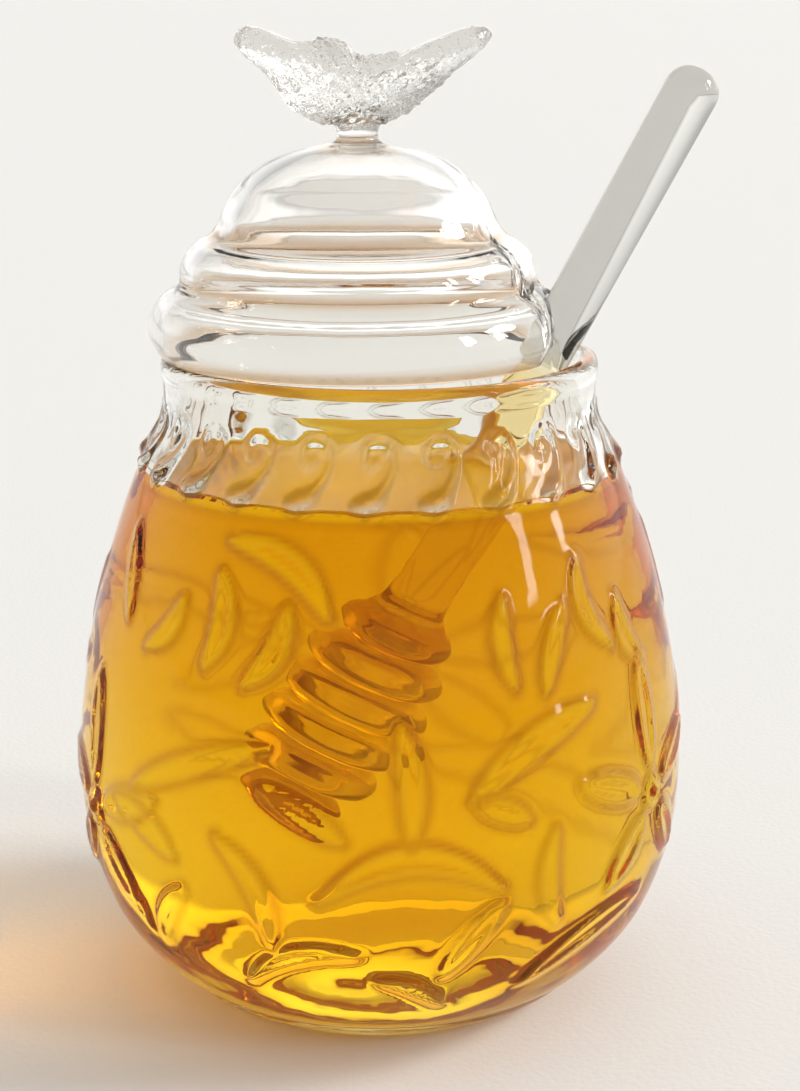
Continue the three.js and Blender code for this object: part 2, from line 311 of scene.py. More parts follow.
def reliefAt(azimuth, z):
    # the highest of all patterns at each point, and the darkest of all painted shade lines
    h = np.zeros_like(z)
    creaseShade = np.zeros_like(z)
    for az0, z0 in flowerRows:
        # each flower's centre is a bud in a ring
        dx = np.radians((azimuth - az0 + 180) % 360 - 180) * jar["bodyRadius"]
        d = np.hypot(dx, z - z0)
        h = np.maximum(h, 1.4 * np.exp(-(d / 1.5) ** 2))
        h = np.maximum(h, 0.7 * np.exp(-((d - 2.3) / 0.6) ** 2))
        # painted shade: a dark ring round each bud
        creaseShade = np.maximum(creaseShade, np.exp(-((d - 3.3) / 0.6) ** 2))
    for *shape, rise in pressedShapes:
        height, line = leafHeight(azimuth, z, *shape)
        share = 1 if abs(shape[0]) < relief["frontHalf"] else relief["backShare"]
        h = np.maximum(h, share * rise * height)
        creaseShade = np.maximum(creaseShade, share * line)
    h = np.maximum(h, scrollHeight(azimuth, z))
    # slow unevenness of pressed glass, a few hundredths of a millimetre
    a = np.radians(azimuth)
    h = h + 0.05 * np.sin(5 * a + 0.11 * z) * np.sin(0.17 * z + 1.3 * np.cos(2 * a))
    return h + 0.03 * np.sin(11 * a - 0.3 * z), creaseShade


# profile: the base's edge, up the outer wall, over the rim, and down inside to the floor
cornerPath = smoothPath([(27.5, 0), (28.8, 0.0), (30.2, 0.14), (31.2, 0.6), (31.95, 1.2)], 0.5)
zBody = np.linspace(1.2, 97.5, 900)
bodyPath = evenly(np.stack([bodyRadiusAt(zBody), zBody], -1), jar["bodyStep"])
neckPath = smoothPath([(34.71, 97.5), (34.7, 99.2), (34.7, 100.4), (34.62, 101.2), (34.85, 102.1),
                       (35.0, 103.2), (34.9, 104.1), (34.5, 104.75), (33.9, 104.98), (33.0, 105.0),
                       (32.4, 104.92), (32.02, 104.6), (31.9, 104.0), (31.9, 102.5), (31.9, 99.5)],
                      jar["neckStep"])
zInside = np.linspace(99.5, 6.6, 500)
innerPath = evenly(np.stack([innerRadiusAt(zInside), zInside], -1), jar["innerStep"])
foot = float(innerRadiusAt(6.6))
floorPath = smoothPath([(foot, 6.6), (foot - 0.8, 6.12), (foot - 1.9, jar["floor"]), (20, jar["floor"]),
                        (12, jar["floor"]), (4, jar["floor"])], jar["floorStep"])
jarPath = np.vstack([cornerPath[:-1], bodyPath, neckPath[1:], innerPath[1:], floorPath[1:]])
outerRows = len(cornerPath) - 1 + len(bodyPath)

azimuths = np.arange(jar["columns"]) * 360 / jar["columns"]
azGrid, rGrid = np.meshgrid(azimuths, jarPath[:, 0])
zGrid = np.repeat(jarPath[:, 1][:, None], jar["columns"], 1)
lift = np.zeros_like(zGrid)
creaseShade = np.zeros_like(zGrid)
band = slice(len(cornerPath) + 3, outerRows)
lift[band], creaseShade[band] = reliefAt(azGrid[band], zGrid[band])
lift[band] *= smoothStep(zGrid[band], 6, 11) * (1 - smoothStep(zGrid[band], 97.4, 99))
# round the foot a bead and a groove
lift[band] += jar["beadRise"] * np.exp(-((zGrid[band] - jar["beadHeight"]) / jar["beadWidth"]) ** 2)
lift[band] -= jar["grooveDepth"] * np.exp(-((zGrid[band] - jar["grooveHeight"]) / jar["grooveWidth"]) ** 2)

# the wall's own tint: below the honey's level it takes part of the honey's colour, painted deeper towards the
# shoulder as shade, since the lower honey is lit more; ridges keep a clearer tint as a painted highlight, the
# creases beside them get a painted dark line, and the foot and the honey's contact line get painted shade;
# above the level steep flanks get painted shade
jarTint = {
    "clear": "fbfbf8", "overHoneyLow": "fff695", "overHoneyShadedHigh": "e5bc61", "foot": "f1dfda",
    "creaseShade": "c4a681", "steepFlankShade": "bfbcb1", "contactLineShade": "dabcaa", "floorRimShade": "e7d4b3",
    "ridgeHighlight": 0.75,
}
stepRound = np.maximum(rGrid, 1) * math.radians(360 / jar["columns"])
stepAlong = np.hypot(*np.gradient(jarPath, axis=0).T)[:, None]
steepness = np.hypot((np.roll(lift, -1, 1) - np.roll(lift, 1, 1)) / (2 * stepRound),
                     np.gradient(lift, axis=0) / stepAlong)
outside = (np.arange(len(jarPath)) < outerRows)[:, None, None]
# painted highlight: ridge crests keep a clearer tint than the honey-tinted wall round them
ridgeHighlightShare = smoothStep(lift, 0.18, 0.5)[..., None]
# painted shade: steep flanks of the relief above the honey are dimmed grey
flankShadeShare = (smoothStep(steepness, 0.1, 0.5) * smoothStep(lift, 0.02, 0.12))[..., None]
honeyShare = (1 - smoothStep(zGrid, 85.5, 87.0))[..., None] * outside
# painted shade: the honey tint on the wall deepens towards the shoulder, where the honey is lit less
shoulderShadeShare = smoothStep(zGrid, 35, 80)[..., None]
# painted shade: near the foot the wall is darker, for the shadowed floor under the jar seen through the base
footShadeShare = 1 - smoothStep(zGrid, 5, 13)[..., None]
# painted shade: a thin dark line on the wall at the honey's level
contactShadeShare = np.exp(-((zGrid - 86.2) / 0.55) ** 2)[..., None] * outside
honeyTintAndShade = blended(linear(jarTint["overHoneyLow"]), linear(jarTint["overHoneyShadedHigh"]), shoulderShadeShare)
honeyTintAndShade = tinted(honeyTintAndShade, jarTint["foot"], footShadeShare)
clearTint = np.array(linear(jarTint["clear"]))
glassTintShadeAndHighlight = blended(clearTint, honeyTintAndShade, honeyShare * (1 - jarTint["ridgeHighlight"] * ridgeHighlightShare))
glassTintShadeAndHighlight = tinted(glassTintShadeAndHighlight, jarTint["creaseShade"], creaseShade[..., None] * honeyShare)
glassTintShadeAndHighlight = blended(glassTintShadeAndHighlight, linear(jarTint["steepFlankShade"]), flankShadeShare * (1 - honeyShare) * outside)
glassTintShadeAndHighlight = tinted(glassTintShadeAndHighlight, jarTint["contactLineShade"], contactShadeShare)
# the inner wall is clear, and the floor's rim is painted a brown shade
rimShadeShare = ((jarPath[:, 1] < 7.5) & ~outside[:, 0, 0]) * smoothStep(jarPath[:, 0], 12, 24)
innerTint = tinted(np.ones(4), jarTint["floorRimShade"], rimShadeShare[:, None, None])
glassTintShadeAndHighlight = np.where(outside | (zGrid[..., None] > 87), glassTintShadeAndHighlight, innerTint)

jarNormals = pathNormals(jarPath)
jarRings = turned(rGrid + lift * jarNormals[:, :1], zGrid + lift * jarNormals[:, 1:], np.radians(azGrid))


def glassMaterial(name, waviness, waveSize, specular=1.0, index=1.5, colour="fbfbf8", tint=None):
    # clear soda-lime glass, smooth from the fire: full transmission, no roughness, and a slow swell in the
    # surface that bends reflections as pressed glass does; waviness and waveSize are in mm, and tint names a
    # colour attribute of the piece
    material = newMaterial(name)
    tree = material.node_tree
    place = addNode(tree, "ShaderNodeTexCoord")
    swell = addNode(tree, "ShaderNodeTexNoise", {
        "Vector": place.outputs["Object"], "Scale": 1 / (waveSize * mm), "Detail": 2.0, "Roughness": 0.45})
    bump = addNode(tree, "ShaderNodeBump", {"Height": swell.outputs["Fac"], "Strength": 1.0,
                                            "Distance": waviness * mm})
    shader = addNode(tree, "ShaderNodeBsdfPrincipled", {
        "Base Color": linear(colour), "Roughness": 0.0, "IOR": index, "Transmission Weight": 1.0,
        "Specular Tint": (specular, specular, specular, 1), "Normal": bump.outputs["Normal"]})
    if tint:
        painted = addNode(tree, "ShaderNodeAttribute", attribute_name=tint)
        tree.links.new(painted.outputs["Color"], shader.inputs["Base Color"])
    addNode(tree, "ShaderNodeOutputMaterial", {"Surface": shader.outputs["BSDF"]})
    return material


def matchedMaterial(name, tint=None, volumeColour=None, volumeDensity=None):
    # where honey wets glass the two bend light alike, so the surface between them has an index of 1 and can't
    # be seen; the volume is the honey's own absorption
    material = newMaterial(name)
    tree = material.node_tree
    shader = addNode(tree, "ShaderNodeBsdfPrincipled", {
        "Base Color": (1, 1, 1, 1), "Roughness": 0.0, "IOR": 1.0, "Transmission Weight": 1.0})
    output = addNode(tree, "ShaderNodeOutputMaterial", {"Surface": shader.outputs["BSDF"]})
    if tint:
        painted = addNode(tree, "ShaderNodeAttribute", attribute_name=tint)
        tree.links.new(painted.outputs["Color"], shader.inputs["Base Color"])
    if volumeDensity:
        absorb = addNode(tree, "ShaderNodeVolumeAbsorption", {"Color": linear(volumeColour),
                                                              "Density": volumeDensity})
        tree.links.new(absorb.outputs["Volume"], output.inputs["Volume"])
    return material


# an index of 1.33, under glass's 1.5, keeps the pattern on the back from drawing dark lines across the front
jarGlass = glassMaterial("pressedJarGlass", 0.12, 9, specular=0.42, index=1.33, tint="glassTintShadeAndHighlight")
wettedGlass = matchedMaterial("jarGlassWettedByHoney", tint="glassTintShadeAndHighlight")
rowMiddles = (jarPath[:-1, 1] + jarPath[1:, 1]) / 2
wetRows = (np.arange(len(rowMiddles)) > outerRows + len(neckPath)) & (rowMiddles < 87.1)
jarPoles = np.array([[0, 0, 0], [0, 0, jar["floor"]]])
jarPiece = gridPiece("jarGlass", jarRings, jarPoles, [jarGlass, wettedGlass],
                     faceSlots(wetRows, jar["columns"], 0, 1))
# the wall's tint attribute: the honey's colour with painted shade and painted highlights
paintPoints(jarPiece, "glassTintShadeAndHighlight", np.vstack([glassTintShadeAndHighlight.reshape(-1, 4), clearTint, clearTint]))
print("jar built:", len(jarPiece.data.polygons), "faces")


# the dipper leans towards +X: slope and distance from the jar's axis at leanHeight, all in mm
dipper = {
    "slope": 0.53, "atRim": 26.35, "leanHeight": 104,
    "headBottom": 30.5, "discs": [6.8, 9.0, 9.9, 9.9, 9.2, 7.6], "discPitch": 5.7,
    "rodStart": 39, "radius": 3.95, "topRadius": 4.4, "topHeight": 145.7, "domeHeight": 4.0, "columns": 96,
    "glassColour": "d2d1cd", "grazingShade": "a8927a",
    "headTint": "fff9da", "grooveShadeTint": "ddbc7c", "filmTint": "fae7aa",
}
lean = math.atan(dipper["slope"])
tipX = dipper["atRim"] - dipper["slope"] * (dipper["leanHeight"] - dipper["headBottom"])

honey = {
    "level": 86.0, "meniscus": 1.3, "meniscusWidth": 1.2, "intoWall": 0.15, "underside": 5.85, "columns": 160,
    "climbUpRod": 0.9, "colour": "fdf155", "density": 66.0, "surfaceGoldAndPaintedLight": "ffc828", "swellLength": 16.667,
}
# the fill: the floor, the side just inside the wall's surface, and the top with its edge drawn up the glass
zSide = np.linspace(7.0, honey["level"] + honey["meniscus"], 300)
sidePath = evenly(np.stack([innerRadiusAt(zSide) + honey["intoWall"], zSide], -1), 1.7)
under = honey["underside"]
bottomPath = np.array([(4, under), (12, under), (20, under), (foot - 2, under), (foot - 0.6, 6.0),
                       (foot + 0.1, 6.45)])
fromEdge = np.array([0.15, 0.35, 0.6, 0.9, 1.3, 1.8, 2.5, 3.4, 4.6, 6, 8, 10, 12, 14, 16, 18, 20, 22,
                     24, 26, 28, 30, 32, 34])
topPath = np.stack([sidePath[-1, 0] - fromEdge, honey["level"] + honey["meniscus"]
                    * np.exp(-(fromEdge - fromEdge[0]) / honey["meniscusWidth"])], -1)
honeyPath = np.vstack([bottomPath, sidePath[1:], topPath])
honeyRings = turned(honeyPath[:, :1], honeyPath[:, 1:], fullTurn(honey["columns"]))
# the honey climbs a little where the rod breaks its surface, and its level swells by a few hundredths
top = slice(len(bottomPath) + len(sidePath) - 1, None)
rodX = dipper["atRim"] - dipper["slope"] * (dipper["leanHeight"] - honey["level"])
toRod = np.hypot((honeyRings[top, :, 0] - rodX) * math.cos(lean), honeyRings[top, :, 1])
honeyRings[top, :, 2] += honey["climbUpRod"] * np.exp(-np.maximum(toRod - dipper["radius"], 0) / 1.3)
topX, topY = honeyRings[top, :, 0], honeyRings[top, :, 1]
honeyRings[top, :, 2] += 0.05 * np.sin(0.21 * topX + 1) * np.sin(0.17 * topY)

# clear golden honey, strained: the colour is in the absorption, so it deepens with the thickness
honeyMaterial = matchedMaterial("clearHoney", volumeColour=honey["colour"], volumeDensity=honey["density"])
honeyPiece = gridPiece("honeyFill", honeyRings, np.array([[0, 0, under], [0, 0, honey["level"]]]),
                       [honeyMaterial])

# the honey's glossy surface is a skin of its own round the top of the fill: its upper face bends light a
# little and is half opaque gold, the honey's own colour with painted light standing in for the light that
# comes up through the honey; its lower face lies in the honey and does neither
upper = honeyRings[top].copy()
upper[..., 2] += 0.1
lower = honeyRings[top][::-1].copy()
lower[..., 2] = np.minimum(lower[..., 2] - 0.25,
                           honey["level"] - 0.25 + 0.75 * (lower[..., 2] - honey["level"]))
edgeRing = honeyRings[top.start - 1:top.start].copy()
edgeRing[..., 2] += 0.02
skinRings = np.vstack([lower, edgeRing, upper])
skinMaterial = newMaterial("honeySurface")     # settled honey: level and glossy, with a slow swell
skinTree = skinMaterial.node_tree
place = addNode(skinTree, "ShaderNodeTexCoord")
swell = addNode(skinTree, "ShaderNodeTexNoise", {
    "Vector": place.outputs["Object"], "Scale": 1 / (honey["swellLength"] * mm), "Detail": 1.0})
bump = addNode(skinTree, "ShaderNodeBump", {"Height": swell.outputs["Fac"], "Strength": 1.0,
                                            "Distance": 0.2 * mm})
# half opaque gold: painted light in place of the light coming up through the honey
skinShader = addNode(skinTree, "ShaderNodeBsdfPrincipled", {
    "Base Color": linear(honey["surfaceGoldAndPaintedLight"]), "Roughness": 0.0, "IOR": 1.07, "Transmission Weight": 0.5,
    "Normal": bump.outputs["Normal"]})
addNode(skinTree, "ShaderNodeOutputMaterial", {"Surface": skinShader.outputs["BSDF"]})
skinInside = matchedMaterial("honeySurfaceUnderside")
skinRows = np.arange(len(skinRings) - 1) < len(lower)
skinPoles = np.array([[0, 0, honey["level"] - 0.25], [0, 0, honey["level"] + 0.1]])
skinPiece = gridPiece("honeySkin", skinRings, skinPoles, [skinMaterial, skinInside],
                      faceSlots(skinRows, honey["columns"], 1, 0))
print("honey built")


# the dipper upright, its tip at height 0: the head of rounded discs, the rod and its domed end
headPath = [(0.8, -0.05), (2.6, 0.1), (4.2, 0.4)]
for index, radius in enumerate(dipper["discs"]):
    start = 0.9 + index * dipper["discPitch"]
    if index:
        headPath += [(min(radius, dipper["discs"][index - 1]) - 2.3, start - 0.75)]
    headPath += [(radius - 1.5, start - 0.1), (radius - 0.6, start + 0.45), (radius, start + 1.4),
                 (radius, start + 2.2), (radius - 0.6, start + 3.2), (radius - 1.5, start + 3.75)]
rodStart = dipper["rodStart"]
headPath += [(5.2, 34.4), (4.3, 36.0), (dipper["radius"], rodStart)]
rodEnd = (dipper["topHeight"] - dipper["headBottom"]) / math.cos(lean)
endRadius = dipper["topRadius"]
rodPath = [(dipper["radius"] + (endRadius - dipper["radius"]) * t, rodStart + (rodEnd - rodStart) * t)
           for t in np.linspace(0.06, 1, 18)]
domePath = [(endRadius * math.cos(a) ** 0.9, rodEnd + dipper["domeHeight"] * math.sin(a))
            for a in np.linspace(0.15, 1.45, 9)]
dipperPath = np.vstack([smoothPath(headPath, 0.45), smoothPath(rodPath, 2.0), smoothPath(domePath, 0.5)])
rodAngles = fullTurn(dipper["columns"])
radii = dipperPath[:, :1]
upright = np.stack(np.broadcast_arrays(radii * np.cos(rodAngles), radii * np.sin(rodAngles),
                                       dipperPath[:, 1:]), -1)


def leaned(points):
    # the upright dipper tilted about its tip and set in the jar: tip + x side + y across + z along the rod
    side = np.array([math.cos(lean), 0, -math.sin(lean)])
    rodAxis = np.array([math.sin(lean), 0, math.cos(lean)])
    tip = np.array([tipX, 0, dipper["headBottom"]])
    return tip + points[..., :1] * side + points[..., 1:2] * np.array([0, 1, 0]) + points[..., 2:3] * rodAxis


dipperRings = leaned(upright)
dipperPoles = leaned(np.array([[0, 0, -0.08], [0, 0, rodEnd + dipper["domeHeight"]]]))
ringHeight = dipperRings[..., 2].mean(1)
submerged = ringHeight[:-1] < honey["level"] - 1
filmed = ~submerged & (ringHeight[:-1] < 102)

# drawn glass rod: clear, with a brown-grey painted shade line where the thick rod is seen edge on
dipperGlass = glassMaterial("dipperRodGlass", 0.05, 14, specular=0.45)
rodTree = dipperGlass.node_tree
grazing = addNode(rodTree, "ShaderNodeLayerWeight", {"Blend": 0.35})
edgeShadeShare = addNode(rodTree, "ShaderNodeMapRange", {"Value": grazing.outputs["Facing"], "From Min": 0.45,
                                                    "From Max": 0.9}, interpolation_type="SMOOTHSTEP")
edgeShadeColour = addNode(rodTree, "ShaderNodeMixRGB", {
    "Fac": edgeShadeShare.outputs["Result"], "Color1": linear(dipper["glassColour"]),
    "Color2": linear(dipper["grazingShade"])})
painted = addNode(rodTree, "ShaderNodeAttribute", attribute_name="grooveShadeTint")
rodColour = addNode(rodTree, "ShaderNodeMixRGB", {
    "Fac": 1.0, "Color1": edgeShadeColour.outputs["Color"], "Color2": painted.outputs["Color"]},
    blend_type="MULTIPLY")
rodTree.links.new(rodColour.outputs["Color"], rodTree.nodes["Principled BSDF"].inputs["Base Color"])
# glass under honey bends light far less, so its index is nearly 1, with a honey tint
wetGlass = newMaterial("dipperGlassUnderHoney")
wetTree = wetGlass.node_tree
painted = addNode(wetTree, "ShaderNodeAttribute", attribute_name="grooveShadeTint")
wetShader = addNode(wetTree, "ShaderNodeBsdfPrincipled", {
    "Base Color": painted.outputs["Color"], "Roughness": 0.08, "IOR": 1.16, "Transmission Weight": 0.88})
addNode(wetTree, "ShaderNodeOutputMaterial", {"Surface": wetShader.outputs["BSDF"]})
# between the honey and the rim a film of honey evens the surface out, so it bends light less
filmedGlass = glassMaterial("dipperGlassWithHoneyFilm", 0.05, 14, specular=0.45, index=1.22,
                            tint="grooveShadeTint")
dipperPiece = gridPiece("dipperRodAndHead", dipperRings, dipperPoles, [dipperGlass, wetGlass, filmedGlass],
                        faceSlots(submerged + 2 * filmed, dipper["columns"], 1, 0))
# the grooves between the discs get painted shade: the tint darkens with the depth below the discs' edge;
# above the honey the rod is golden with what clings to it, up to the rim, and clear from there on
depth = smoothStep(9.2 - dipperPath[:, 0], 0.4, 2.6) * (dipperPath[:, 1] < 35) * (dipperPath[:, 1] > 0.6)
headTint = blended(linear(dipper["headTint"]), linear(dipper["grooveShadeTint"]), depth[:, None])
filmTint = tinted(np.ones(4), dipper["filmTint"], (1 - smoothStep(ringHeight, 99, 108))[:, None])
dipperTint = np.where((ringHeight > honey["level"] - 2)[:, None], filmTint, headTint)
paintPoints(dipperPiece, "grooveShadeTint",
            np.vstack([np.repeat(dipperTint, dipper["columns"], 0), dipperTint[:1], dipperTint[-1:]]))
print("dipper built")


# the lid stands shift mm off the jar's axis, with its notch on the +X side, where the dipper passes
lid = {
    "shift": -3.35, "foot": 105.3, "columns": 240, "lipDrop": 0.28, "notchLipDrop": 1.1,
    "notchHalf": 10.6, "notchMiddle": -3.0, "notchTop": 115.4, "notchPower": 2.6, "notchRadius": 31,
    "glassColour": "f8f7f5", "creaseReflectionTint": "e1c7aa",
    "creaseRings": [(116.6, 0.9), (124.2, 0.9), (106, 1.0), (137.9, 0.5)],     # height and width
}
lidOuter = smoothPath([(31.7, 105.3), (32.5, 106.6), (33.2, 108.1), (33.4, 109.6), (33.15, 111.3),
                       (32.4, 112.9), (31.1, 114.4), (29.4, 115.4), (28.5, 116.1), (28.25, 117.4),
                       (28.2, 118.6), (27.8, 120), (26.8, 121.6), (25.3, 122.8), (23.8, 123.6), (22.9, 124.5),
                       (22.0, 126.0), (21.1, 128.0), (20.1, 129.9), (18.7, 131.6), (16.9, 133.3),
                       (14.6, 134.9), (11.8, 136.2), (8.4, 137.2), (5.4, 137.75), (3.9, 138.05),
                       (3.35, 138.6), (3.2, 139.4), (3.5, 140.5), (4.2, 141.8), (4.1, 143.2), (2.6, 144.3),
                       (0.6, 144.7)], 0.5)
lidInner = smoothPath([(1.2, 136.1), (5, 135.8), (9, 134.9), (12.6, 133.4), (15.4, 131.4), (17.4, 129.2),
                       (19, 126.6), (20.4, 123.9), (22.4, 121.8), (24.6, 120.6), (25.9, 118.9),
                       (26.2, 116.8), (26.6, 115.0), (28.4, 113.6), (30.2, 112.2), (31.1, 110.2),
                       (31.1, 108.2), (30.4, 106.4), (29.7, 105.3)], 0.7)


def notchRise(angle):
    # how far the lid's edge is lifted: a super-elliptic arch on the +X side, nothing elsewhere
    y = -lid["notchRadius"] * np.cos(angle) - lid["notchMiddle"]
    inNotch = (np.abs(y) < lid["notchHalf"]) & (np.sin(angle) > 0)
    arch = np.clip(1 - np.abs(y / lid["notchHalf"]) ** lid["notchPower"], 0, 1) ** (1 / lid["notchPower"])
    return np.where(inNotch, (lid["notchTop"] - lid["foot"]) * arch, 0)


lidAngles = fullTurn(lid["columns"])
lidRise = notchRise(lidAngles)
# at each angle the profile keeps the stretch above its own edge: arc length from the edge up to the top
outerLength, innerLength = arcLength(lidOuter), arcLength(lidInner)
outerStart = np.interp(lid["foot"] + lidRise, lidOuter[:, 1], outerLength)
fromInnerEnd = (innerLength[-1] - innerLength)[::-1]
innerEnd = innerLength[-1] - np.interp(lid["foot"] + lidRise, lidInner[::-1, 1], fromInnerEnd)
sOuter = outerStart + (outerLength[-1] - outerStart) * np.linspace(0, 1, len(lidOuter))[:, None]
sInner = innerEnd * np.linspace(0, 1, len(lidInner))[:, None]
rOuter, zOuter = [np.interp(sOuter, outerLength, lidOuter[:, axis]) for axis in (0, 1)]
rInner, zInner = [np.interp(sInner, innerLength, lidInner[:, axis]) for axis in (0, 1)]
# a rolled lip joins inner to outer by half a circle; round the notch it hangs deeper
lipAngles = np.linspace(0, math.pi, 9)[1:-1][:, None]
lipDrop = np.where(lidRise > 0, np.minimum(lid["notchLipDrop"], 0.3 + lidRise), lid["lipDrop"])
rLip = (rOuter[0] + rInner[-1]) / 2 - (rOuter[0] - rInner[-1]) / 2 * np.cos(lipAngles)
zLip = (zOuter[0] + zInner[-1]) / 2 - lipDrop * np.sin(lipAngles)
rLid = np.vstack([rInner, rLip, rOuter])
zLid = np.vstack([zInner, zLip, zOuter])
lidRings = turned(rLid, zLid, lidAngles, lid["shift"])
# pressed glass with a painted reflection of the honey below it: amber lines in the creases, a tint by height
paintedCreaseShare = sum(np.exp(-((zLid - height) / width) ** 2) for height, width in lid["creaseRings"])
lidTintAndReflection = tinted(linear(lid["glassColour"]), lid["creaseReflectionTint"], np.clip(paintedCreaseShare, 0, 1)[..., None])
lidGlass = glassMaterial("pressedLidGlass", 0.1, 11, specular=0.6, tint="lidTintAndReflection")
lidPiece = gridPiece("lidShell", lidRings, np.array([[lid["shift"], 0, 136.15], [lid["shift"], 0, 144.75]]),
                     [lidGlass])
paintPoints(lidPiece, "lidTintAndReflection", np.vstack([lidTintAndReflection.reshape(-1, 4), np.ones((2, 4))]))
print("lid built")


# the winged knob: its front outline about its middle, as angle in degrees and reach in mm
knob = {"middle": 147.0, "columns": 320, "rows": 110, "depth": 6.6, "pebble": 0.36, "feather": 0.2}
knobAngles = np.array([-90, -72, -59, -37, -22, -7, 6, 12, 15, 19, 23, 26.5, 29.5, 33, 55, 75, 93, 108, 124,
                       137, 143, 147, 149.5, 152, 156, 162, 168, 173, 185, 198.6, 218, 236, 251])
knobReach = np.array([6.6, 6.7, 7.2, 8.2, 9.4, 11.4, 14.7, 17.9, 20.2, 22.1, 21.9, 19.9, 14.2, 8.4, 5.1, 4.3,
                      4.4, 6.4, 8.4, 9.5, 10.2, 11.6, 16.0, 18.9, 20.1, 20.1, 17.1, 14.4, 12.2, 11.0, 8.9,
                      7.4, 6.8])


def knobOutline(angle):
    # straight lines between the outline's points, round and round, then a Gaussian mean over a few degrees
    full = np.linspace(-180, 180, 721)[:-1]
    angles = np.concatenate([knobAngles - 360, knobAngles, knobAngles + 360])
    reach = np.interp(full, angles, np.tile(knobReach, 3))
    weights = np.exp(-0.5 * (np.arange(-12, 13) / 3.0) ** 2)
    reach = np.concatenate([reach[-12:], reach, reach[:12]])
    reach = np.convolve(reach, weights / weights.sum(), mode="valid")
    return np.interp((np.degrees(angle) + 180) % 360 - 180, full, reach)


# about the middle each slice across the outline is an ellipse: reach along the outline, depth across it
offAxis = ((np.arange(knob["rows"]) + 0.5) / knob["rows"] * math.pi - math.pi / 2)[:, None]
angle = fullTurn(knob["columns"])
reach = 1 / np.sqrt((np.cos(offAxis) / knobOutline(angle)) ** 2 + (np.sin(offAxis) / knob["depth"]) ** 2)
direction = np.stack(np.broadcast_arrays(np.cos(offAxis) * np.cos(angle), np.sin(offAxis),
                                         np.cos(offAxis) * np.sin(angle)), -1)
x, y, z = np.moveaxis(direction * reach[..., None], -1, 0)
# rough cast surface: crossed waves of two sizes, and feather ridges that run out along the wings
pebble = (np.sin(1.9 * x + 1.1 * np.sin(1.7 * y)) * np.sin(2.1 * y + 0.7 * x) * np.sin(2.0 * z + 0.9 * x)
          + 0.5 * np.sin(3.7 * x - 1.3 * z) * np.sin(3.3 * y + 1.9 * x) * np.sin(3.9 * z - y))
feather = np.sin(2.6 * y + 0.35 * np.abs(x)) * smoothStep(np.abs(x), 6, 11)
reach = reach + knob["pebble"] * pebble + knob["feather"] * feather
knobMiddle = np.array([lid["shift"], 0, knob["middle"]])
knobPoles = knobMiddle + np.array([[0, -knob["depth"], 0], [0, knob["depth"], 0]])
# cast glass: clear, its skin crinkled by the mould, so that it breaks the room up into small lights and darks
knobGlass = glassMaterial("castKnobGlass", 0.5, 1.5, specular=0.6, colour="e9e8e5")
knobPiece = gridPiece("lidKnob", knobMiddle + direction * reach[..., None], knobPoles, [knobGlass])
print("knob built")

for piece, node, slotName in [(jarPiece, "jar", "jar_glass"), (honeyPiece, "honey", "honey"),
                              (skinPiece, "honey", "honey"), (dipperPiece, "dipper", "dipper_glass"),
                              (lidPiece, "lid", "lid_glass"), (knobPiece, "lid", "lid_glass")]:
    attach(piece, "root")
    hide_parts(node)


# pale matt paper, its grain about a millimetre across; it runs level to far behind the camera's horizon
floorMaterial = newMaterial("palePaper")
floorTree = floorMaterial.node_tree
place = addNode(floorTree, "ShaderNodeTexCoord")
grain = addNode(floorTree, "ShaderNodeTexNoise", {"Vector": place.outputs["Object"], "Scale": 900.0,
                                                  "Detail": 3.0})
bump = addNode(floorTree, "ShaderNodeBump", {"Height": grain.outputs["Fac"], "Strength": 0.25,
                                             "Distance": 0.3 * mm})
shader = addNode(floorTree, "ShaderNodeBsdfPrincipled", {"Base Color": linear("f1f0ee"), "Roughness": 0.85,
                                                         "Normal": bump.outputs["Normal"]})
addNode(floorTree, "ShaderNodeOutputMaterial", {"Surface": shader.outputs["BSDF"]})
floorLines = np.array([-40, -4, -1, -0.4, 0, 0.4, 1, 4, 40])
n = len(floorLines)
floorPoints = np.stack(np.broadcast_arrays(floorLines, floorLines[:, None], -0.0001), -1).reshape(-1, 3)
corner = (np.arange(n - 1)[:, None] * n + np.arange(n - 1)).ravel()
mesh = bpy.data.meshes.new("paleFloor")
floorFaces = np.stack([corner, corner + 1, corner + n + 1, corner + n], -1)
mesh.from_pydata(floorPoints.tolist(), [], floorFaces.tolist())
mesh.polygons.foreach_set("use_smooth", np.ones(len(corner), bool))
mesh.materials.append(floorMaterial)
floor = bpy.data.objects.new("paleFloor", mesh)
bpy.context.scene.collection.objects.link(floor)

light = {
    "sunStrength": 1.4, "sunSpread": 14, "sunColour": "fffaf4", "sunFrom": (0.85, 0.13, 0.52),
    "roomColour": "fafaf8", "windowStrength": 26.0,
}
sun = bpy.data.lights.new("keySun", "SUN")
sun.energy = light["sunStrength"]
sun.angle = math.radians(light["sunSpread"])
sun.color = linear(light["sunColour"])[:3]
sunObject = bpy.data.objects.new("keySun", sun)
bpy.context.scene.collection.objects.link(sunObject)
sunObject.rotation_mode = "QUATERNION"
sunObject.rotation_quaternion = Vector(light["sunFrom"]).to_track_quat("Z", "Y")

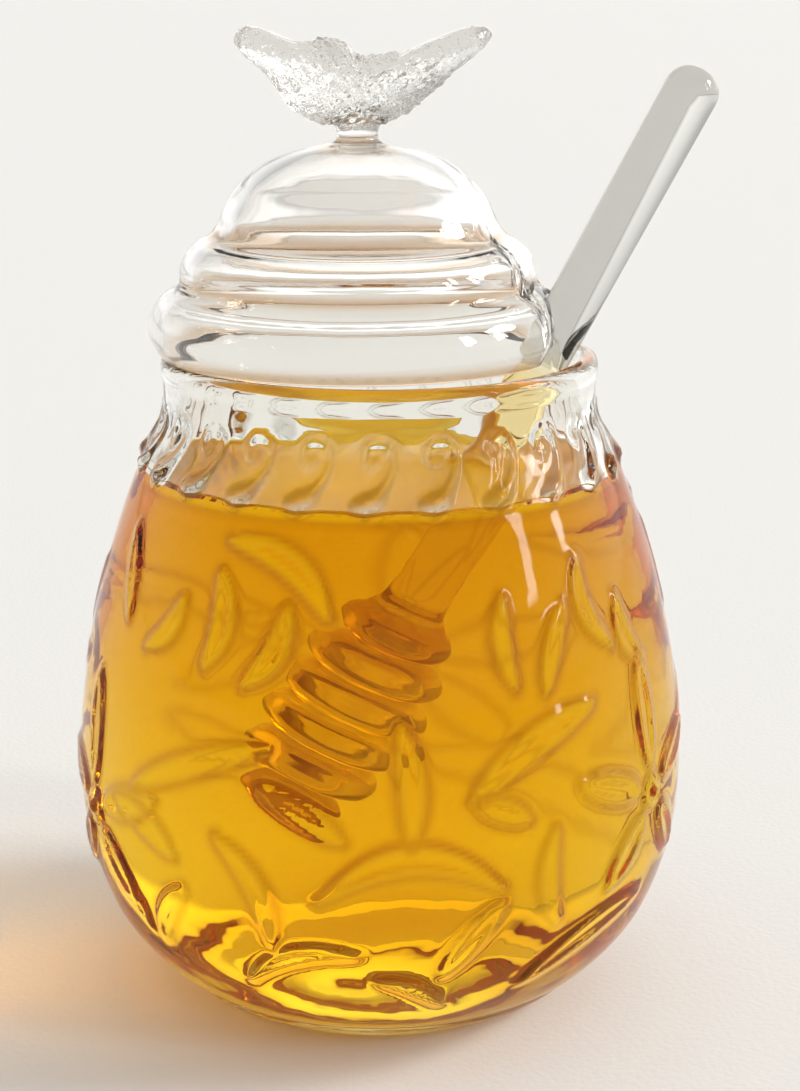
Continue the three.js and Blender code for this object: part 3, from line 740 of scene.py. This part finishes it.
# pale room, by direction: bright behind the jar, a little more above the horizon, dim on the camera's side,
# and a window of two tall panes on the right, whose edges are ramps of y / x and z / x
world = bpy.data.worlds.new("paleStudio")
bpy.context.scene.world = world
world.use_nodes = True
sky = world.node_tree
place = addNode(sky, "ShaderNodeTexCoord")
axes = addNode(sky, "ShaderNodeSeparateXYZ", {"Vector": place.outputs["Generated"]}).outputs
right = addNode(sky, "ShaderNodeMath", {0: axes["X"], 1: 0.001}, operation="MAXIMUM").outputs["Value"]
across = addNode(sky, "ShaderNodeMath", {0: axes["Y"], 1: right}, operation="DIVIDE").outputs["Value"]
upwards = addNode(sky, "ShaderNodeMath", {0: axes["Z"], 1: right}, operation="DIVIDE").outputs["Value"]
ramps = {}
for name, source, low, high, start, end in [
        ("behind", axes["Y"], -0.5, 0.3, 0.45, 0.8), ("horizon", axes["Z"], 0.0, 0.05, 1.0, 1.85),
        ("overhead", axes["Z"], 0.15, 0.45, 1.0, 0.5), ("rightSide", axes["X"], -0.6, 0.4, 0.72, 1.22),
        ("nearFrom", across, -0.49, -0.47, 0, 1), ("nearTo", across, -0.4, -0.38, 1, 0),
        ("farFrom", across, -0.08, -0.06, 0, 1), ("farTo", across, 0.0, 0.02, 1, 0),
        ("sill", upwards, 0.22, 0.27, 0, 1), ("head", upwards, 0.66, 0.7, 1, 0)]:
    ramps[name] = addNode(sky, "ShaderNodeMapRange", {
        "Value": source, "From Min": low, "From Max": high, "To Min": start, "To Max": end},
        interpolation_type="SMOOTHSTEP").outputs["Result"]
products = {}
for name, factors in {"room": ["behind", "horizon", "overhead", "rightSide"],
                      "nearPane": ["nearFrom", "nearTo", "sill", "head"],
                      "farPane": ["farFrom", "farTo", "sill", "head"]}.items():
    product = ramps[factors[0]]
    for factor in factors[1:]:
        product = addNode(sky, "ShaderNodeMath", {0: product, 1: ramps[factor]},
                          operation="MULTIPLY").outputs["Value"]
    products[name] = product
window = addNode(sky, "ShaderNodeMath", {0: products["nearPane"], 1: products["farPane"]}, operation="ADD")
strength = addNode(sky, "ShaderNodeMath", {0: window.outputs["Value"], 1: light["windowStrength"],
                                           2: products["room"]}, operation="MULTIPLY_ADD")
background = sky.nodes["Background"]
sky.links.new(strength.outputs["Value"], background.inputs["Strength"])
background.inputs["Color"].default_value = linear(light["roomColour"])

# the camera's place is in metres, its tilt in degrees, its lens and sensor in mm
view = {"place": (0.0033, -0.3335, 0.1616), "tilt": 75.09, "lens": 69.3, "sensor": 36}
cameraData = bpy.data.cameras.new("photoCamera")
cameraData.lens = view["lens"]
cameraData.sensor_width = view["sensor"]
camera = bpy.data.objects.new("photoCamera", cameraData)
bpy.context.scene.collection.objects.link(camera)
camera.location = view["place"]
camera.rotation_euler = (math.radians(view["tilt"]), 0, 0)
print("floor, light and camera set")

scene = bpy.context.scene
scene.camera = camera
scene.view_settings.view_transform = "Standard"
scene.cycles.max_bounces = 64            # light crosses many glass faces here
scene.cycles.transmission_bounces = 64
scene.cycles.glossy_bounces = 8
scene.cycles.diffuse_bounces = 3
scene.cycles.transparent_max_bounces = 8
scene.cycles.sample_clamp_indirect = 20
scene.cycles.caustics_reflective = True
scene.cycles.caustics_refractive = True
scene.cycles.blur_glossy = 0.6
